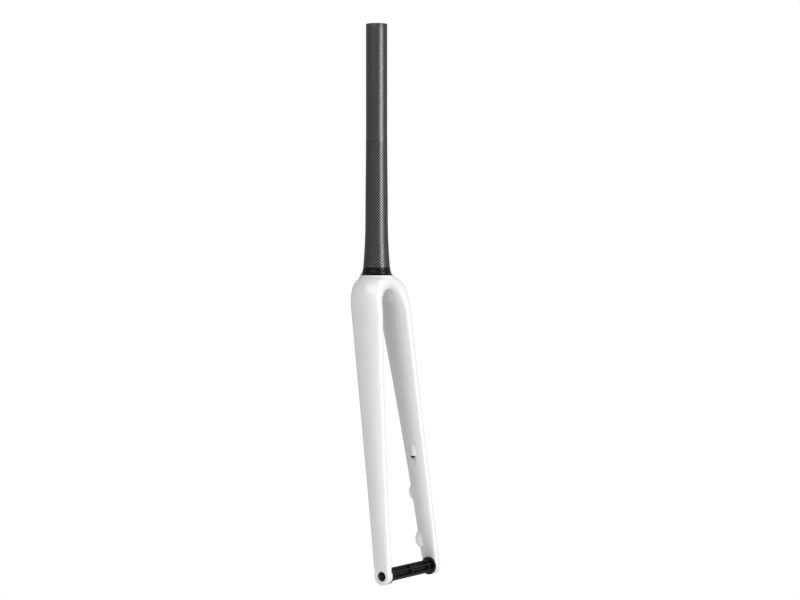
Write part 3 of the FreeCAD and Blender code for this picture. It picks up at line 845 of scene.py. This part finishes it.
# Colours at two places of the noise that they follow
PAINT_TONES = [(0.3, (0.84, 0.85, 0.86)), (0.7, (0.875, 0.88, 0.885))]
PLASTIC_TONES = [(0.3, (0.003, 0.003, 0.003)), (0.7, (0.007, 0.007, 0.007))]
METAL_TONES = [(0.3, (0.76, 0.77, 0.78)), (0.7, (0.86, 0.87, 0.88))]
# Painted shade: black inside the hose ports, standing for the shade under each hood's brow and the bare
# carbon inside the leg
PORT_SHADE_BLACK = (0.006, 0.006, 0.006, 1)


# White paint: a faint unevenness in tone, orange peel, and a clear coat, with painted shade inside the hose
# ports
def paint_material():
    material, nodes, links, shader = new_material("white_paint")
    coords = object_coords(nodes)
    tone = noise(nodes, links, coords, 45.0, 3.0)
    white = ramp(nodes, links, tone, PAINT_TONES)
    # Painted shade in both hose ports, laid over the white
    shade_in_ports = maths(nodes, links, "MAXIMUM", port_shade_mask(nodes, links, coords, "hose_exit", -1),
                 port_shade_mask(nodes, links, coords, "hose_entry", 1))
    colour = nodes.new("ShaderNodeMix")
    colour.data_type = "RGBA"
    links.new(shade_in_ports, colour.inputs["Factor"])
    links.new(white, colour.inputs["A"])
    colour.inputs["B"].default_value = PORT_SHADE_BLACK
    links.new(colour.outputs["Result"], shader.inputs["Base Color"])
    fine = noise(nodes, links, coords, 520.0, 2.0)
    rough = maths(nodes, links, "MULTIPLY_ADD", fine, 0.06, 0.27)
    links.new(rough, shader.inputs["Roughness"])
    peel = noise(nodes, links, coords, 380.0, 1.0)
    links.new(bump(nodes, links, peel, 0.05, 0.0004), shader.inputs["Normal"])
    shader.inputs["Coat Weight"].default_value = 0.5
    shader.inputs["Coat Roughness"].default_value = 0.2
    shader.inputs["IOR"].default_value = 1.5
    return material


# Bare carbon under clear resin: herringbone cloth above the seam, plain cloth below it
TOW = 0.0019
CHEVRON = 0.0033
WEAVE_TURN = 32.0
PANEL_COUNT = 4
SEAM_HEIGHT = 0.181
SEAM_HALF = 0.004
FOOT_HEIGHT = 0.0105
FIBRE_DARK = (0.005, 0.005, 0.005, 1)
FIBRE_BRIGHT = (0.18, 0.176, 0.172, 1)


def choose(nodes, links, factor, first, second):
    node = nodes.new("ShaderNodeMix")
    node.data_type = "FLOAT"
    links.new(factor, node.inputs["Factor"])
    links.new(first, node.inputs["A"])
    links.new(second, node.inputs["B"])
    return node.outputs["Result"]


# One cloth from its two thread counts: which thread lies on top, and how its rounded back stands up
def cloth(nodes, links, one, two, repeat, on_top):
    step = maths(nodes, links, "ADD", maths(nodes, links, "FLOOR", one), maths(nodes, links, "FLOOR", two))
    over = maths(nodes, links, "LESS_THAN", maths(nodes, links, "FLOORED_MODULO", step, repeat), on_top)
    first = maths(nodes, links, "PINGPONG", one, 0.5)
    second = maths(nodes, links, "PINGPONG", two, 0.5)
    back = maths(nodes, links, "MULTIPLY", choose(nodes, links, over, first, second), 2.0)
    return over, maths(nodes, links, "POWER", back, 0.5)


def carbon_material():
    material, nodes, links, shader = new_material("carbon_weave")
    coords = object_coords(nodes)
    split = nodes.new("ShaderNodeSeparateXYZ")
    links.new(coords, split.inputs[0])
    x, y, z = split.outputs
    angle = maths(nodes, links, "ARCTAN2", x, maths(nodes, links, "MULTIPLY", y, -1.0))
    angle = maths(nodes, links, "ADD", angle, math.radians(WEAVE_TURN))
    arc = maths(nodes, links, "MULTIPLY", angle, STEERER_RADIUS * MM)
    panel = 2 * math.pi * STEERER_RADIUS * MM / PANEL_COUNT
    fold = maths(nodes, links, "PINGPONG", arc, panel / 2)
    rib = maths(nodes, links, "DIVIDE", maths(nodes, links, "SUBTRACT", z, fold), CHEVRON)
    fine_height = maths(nodes, links, "MULTIPLY", maths(nodes, links, "PINGPONG", rib, 0.5), 2.0)
    raised = maths(nodes, links, "MULTIPLY", fine_height, 1.3)
    fine_over = maths(nodes, links, "SMOOTH_MIN", raised, 1.0, 0.3)
    around = maths(nodes, links, "DIVIDE", arc, TOW)
    upward = maths(nodes, links, "DIVIDE", z, TOW)
    coarse_over, coarse_height = cloth(nodes, links, around, upward, 2.0, 1.0)
    above = maths(nodes, links, "GREATER_THAN", z, SEAM_HEIGHT)
    clothed = maths(nodes, links, "GREATER_THAN", z, FOOT_HEIGHT)
    over = maths(nodes, links, "MULTIPLY", choose(nodes, links, above, coarse_over, fine_over), clothed)
    height = choose(nodes, links, above, coarse_height, fine_height)
    seam = maths(nodes, links, "ABSOLUTE", maths(nodes, links, "SUBTRACT", z, SEAM_HEIGHT))
    away = maths(nodes, links, "SMOOTH_MIN", maths(nodes, links, "DIVIDE", seam, SEAM_HALF), 1.0, 0.2)
    weave = maths(nodes, links, "MULTIPLY", maths(nodes, links, "MULTIPLY", height, away), clothed)
    tone = nodes.new("ShaderNodeMix")
    tone.data_type = "RGBA"
    links.new(over, tone.inputs["Factor"])
    tone.inputs["A"].default_value = FIBRE_DARK
    tone.inputs["B"].default_value = FIBRE_BRIGHT
    links.new(tone.outputs["Result"], shader.inputs["Base Color"])
    fibres = noise(nodes, links, coords, 900.0, 2.0)
    rough = maths(nodes, links, "MULTIPLY_ADD", fibres, 0.12, 0.26)
    links.new(rough, shader.inputs["Roughness"])
    links.new(bump(nodes, links, weave, 0.6, 0.0002), shader.inputs["Normal"])
    shader.inputs["Metallic"].default_value = 0.85
    shader.inputs["Coat Weight"].default_value = 0.3
    shader.inputs["Coat Roughness"].default_value = 0.3
    return material


# Moulded black plastic with a fine spark-eroded grain
def plastic_material():
    material, nodes, links, shader = new_material("black_plastic")
    coords = object_coords(nodes)
    tone = noise(nodes, links, coords, 160.0, 3.0)
    links.new(ramp(nodes, links, tone, PLASTIC_TONES), shader.inputs["Base Color"])
    grain = noise(nodes, links, coords, 2600.0, 2.0)
    links.new(bump(nodes, links, grain, 0.2, 0.0001), shader.inputs["Normal"])
    links.new(maths(nodes, links, "MULTIPLY_ADD", tone, 0.14, 0.24), shader.inputs["Roughness"])
    return material


# Turned aluminium
def metal_material():
    material, nodes, links, shader = new_material("insert_metal")
    coords = object_coords(nodes)
    marks = noise(nodes, links, coords, 1500.0, 3.0)
    links.new(ramp(nodes, links, marks, METAL_TONES), shader.inputs["Base Color"])
    shader.inputs["Metallic"].default_value = 0.6
    links.new(maths(nodes, links, "MULTIPLY_ADD", marks, 0.15, 0.22), shader.inputs["Roughness"])
    return material


def stage_material(name, strength):
    material, _, _, shader = new_material(name)
    shader.inputs["Base Color"].default_value = (0.0, 0.0, 0.0, 1)
    shader.inputs["Roughness"].default_value = 1.0
    shader.inputs["Specular IOR Level"].default_value = 0.0
    shader.inputs["Emission Color"].default_value = (1, 1, 1, 1)
    shader.inputs["Emission Strength"].default_value = strength
    return material


# Camera at the photograph's viewing angle
CAMERA_AZIMUTH = -53.43
CAMERA_DISTANCE = 2.629
CAMERA_HEIGHT = 0.049
CAMERA_DIP = 1.802
FOCAL_PIXELS = 1950.9
AXIS_COLUMN = 376.6
FRAME_WIDTH = 800.0
SENSOR = 36.0


def add_camera():
    data = bpy.data.cameras.new("camera")
    data.sensor_width = SENSOR
    data.lens = FOCAL_PIXELS / FRAME_WIDTH * SENSOR
    data.shift_x = (FRAME_WIDTH / 2 - AXIS_COLUMN) / FRAME_WIDTH
    camera = bpy.data.objects.new("camera", data)
    azimuth = math.radians(CAMERA_AZIMUTH)
    across = CAMERA_DISTANCE * math.sin(azimuth)
    camera.location = (across, -CAMERA_DISTANCE * math.cos(azimuth), CAMERA_HEIGHT)
    camera.rotation_euler = (math.radians(90 - CAMERA_DIP), 0, azimuth)
    bpy.context.scene.collection.objects.link(camera)
    bpy.context.scene.camera = camera


# Name, azimuth, elevation, distance, width, height and power
SOFTBOXES = (
    ("strip", 0, 0, 1.9, 0.85, 1.7, 29.0),
    ("side", -88, 50, 2.2, 1.6, 1.4, 19.0),
    ("low_side", -92, -48, 2.2, 1.6, 1.4, 15.0),
    ("front", 22, 50, 2.2, 1.4, 1.4, 6.0),
)


# Soft boxes stand around the object and face it
def softbox(name, azimuth, elevation, distance, width, height, power, target_height=-0.05):
    data = bpy.data.lights.new(name, "AREA")
    data.shape = "RECTANGLE"
    data.size = width
    data.size_y = height
    data.energy = power
    light = bpy.data.objects.new(name, data)
    turn = math.radians(azimuth)
    rise = math.radians(elevation)
    away = Vector((math.sin(turn) * math.cos(rise), -math.cos(turn) * math.cos(rise), math.sin(rise)))
    light.location = away * distance + Vector((0, 0, target_height))
    light.rotation_euler = away.to_track_quat("Z", "Y").to_euler()
    bpy.context.scene.collection.objects.link(light)


SURROUNDINGS = (0.30, 0.303, 0.309, 1)


# Plain grey surroundings
def add_world():
    world = bpy.data.worlds.new("studio")
    bpy.context.scene.world = world
    world.use_nodes = True
    background = world.node_tree.nodes["Background"]
    background.inputs["Color"].default_value = SURROUNDINGS
    background.inputs["Strength"].default_value = 1.0


FLOOR_GAP = 0.02
SWEEP_RADIUS = 1.2
SWEEP_BACK = 3.2
SWEEP_HEIGHT = 3.5
SWEEP_HALF_WIDTH = 4.0
SWEEP_FRONT = 3.5
SWEEP_STEPS = 12


# Pale floor that curves up behind the object
def add_sweep():
    floor = shell_low[2] * MM - FLOOR_GAP
    profile = [(-SWEEP_FRONT, floor), (SWEEP_BACK - SWEEP_RADIUS, floor)]
    for step in range(1, SWEEP_STEPS + 1):
        angle = math.pi / 2 * step / SWEEP_STEPS
        profile.append((SWEEP_BACK - SWEEP_RADIUS + SWEEP_RADIUS * math.sin(angle),
                        floor + SWEEP_RADIUS * (1 - math.cos(angle))))
    profile.append((SWEEP_BACK, SWEEP_HEIGHT))
    azimuth = math.radians(CAMERA_AZIMUTH)
    away = Vector((-math.sin(azimuth), math.cos(azimuth), 0))
    side = Vector((math.cos(azimuth), math.sin(azimuth), 0))
    verts = []
    for back, height in profile:
        for sign in (-1, 1):
            verts.append((away * back + side * sign * SWEEP_HALF_WIDTH + Vector((0, 0, height))) / MM)
    faces = [(2 * k, 2 * k + 1, 2 * k + 3, 2 * k + 2) for k in range(len(profile) - 1)]
    sweep = add_object("floor_sweep", verts, faces, stage_material("pale_floor", 1.0))
    sweep.visible_diffuse = False
    sweep.visible_glossy = False
    sweep.visible_shadow = False


def dress():
    paint = paint_material()
    carbon = carbon_material()
    plastic = plastic_material()
    metal = metal_material()
    pieces = [
        (painted_shell(paint), "crown_and_legs", "white_paint"),
        (steerer(carbon), "steerer_tube", "carbon_weave"),
        (spacer(plastic), "dropout_spacer", "black_plastic"),
        (sleeve("left_sleeve_surface", 1, metal), "axle_sleeve_left", "insert_metal"),
        (sleeve("right_sleeve_surface", -1, metal), "axle_sleeve_right", "insert_metal"),
        (threaded_insert("upper_insert_surface", "brake_mount_upper", metal),
         "brake_insert_upper", "insert_metal"),
        (threaded_insert("lower_insert_surface", "brake_mount_lower", metal),
         "brake_insert_lower", "insert_metal"),
    ]
    for piece, node, slot in pieces:
        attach(piece, "root")
        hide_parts(node)


def main():
    dress()
    add_camera()
    add_world()
    add_sweep()
    for row in SOFTBOXES:
        softbox(*row)
    bpy.context.scene.view_settings.view_transform = "Standard"


main()
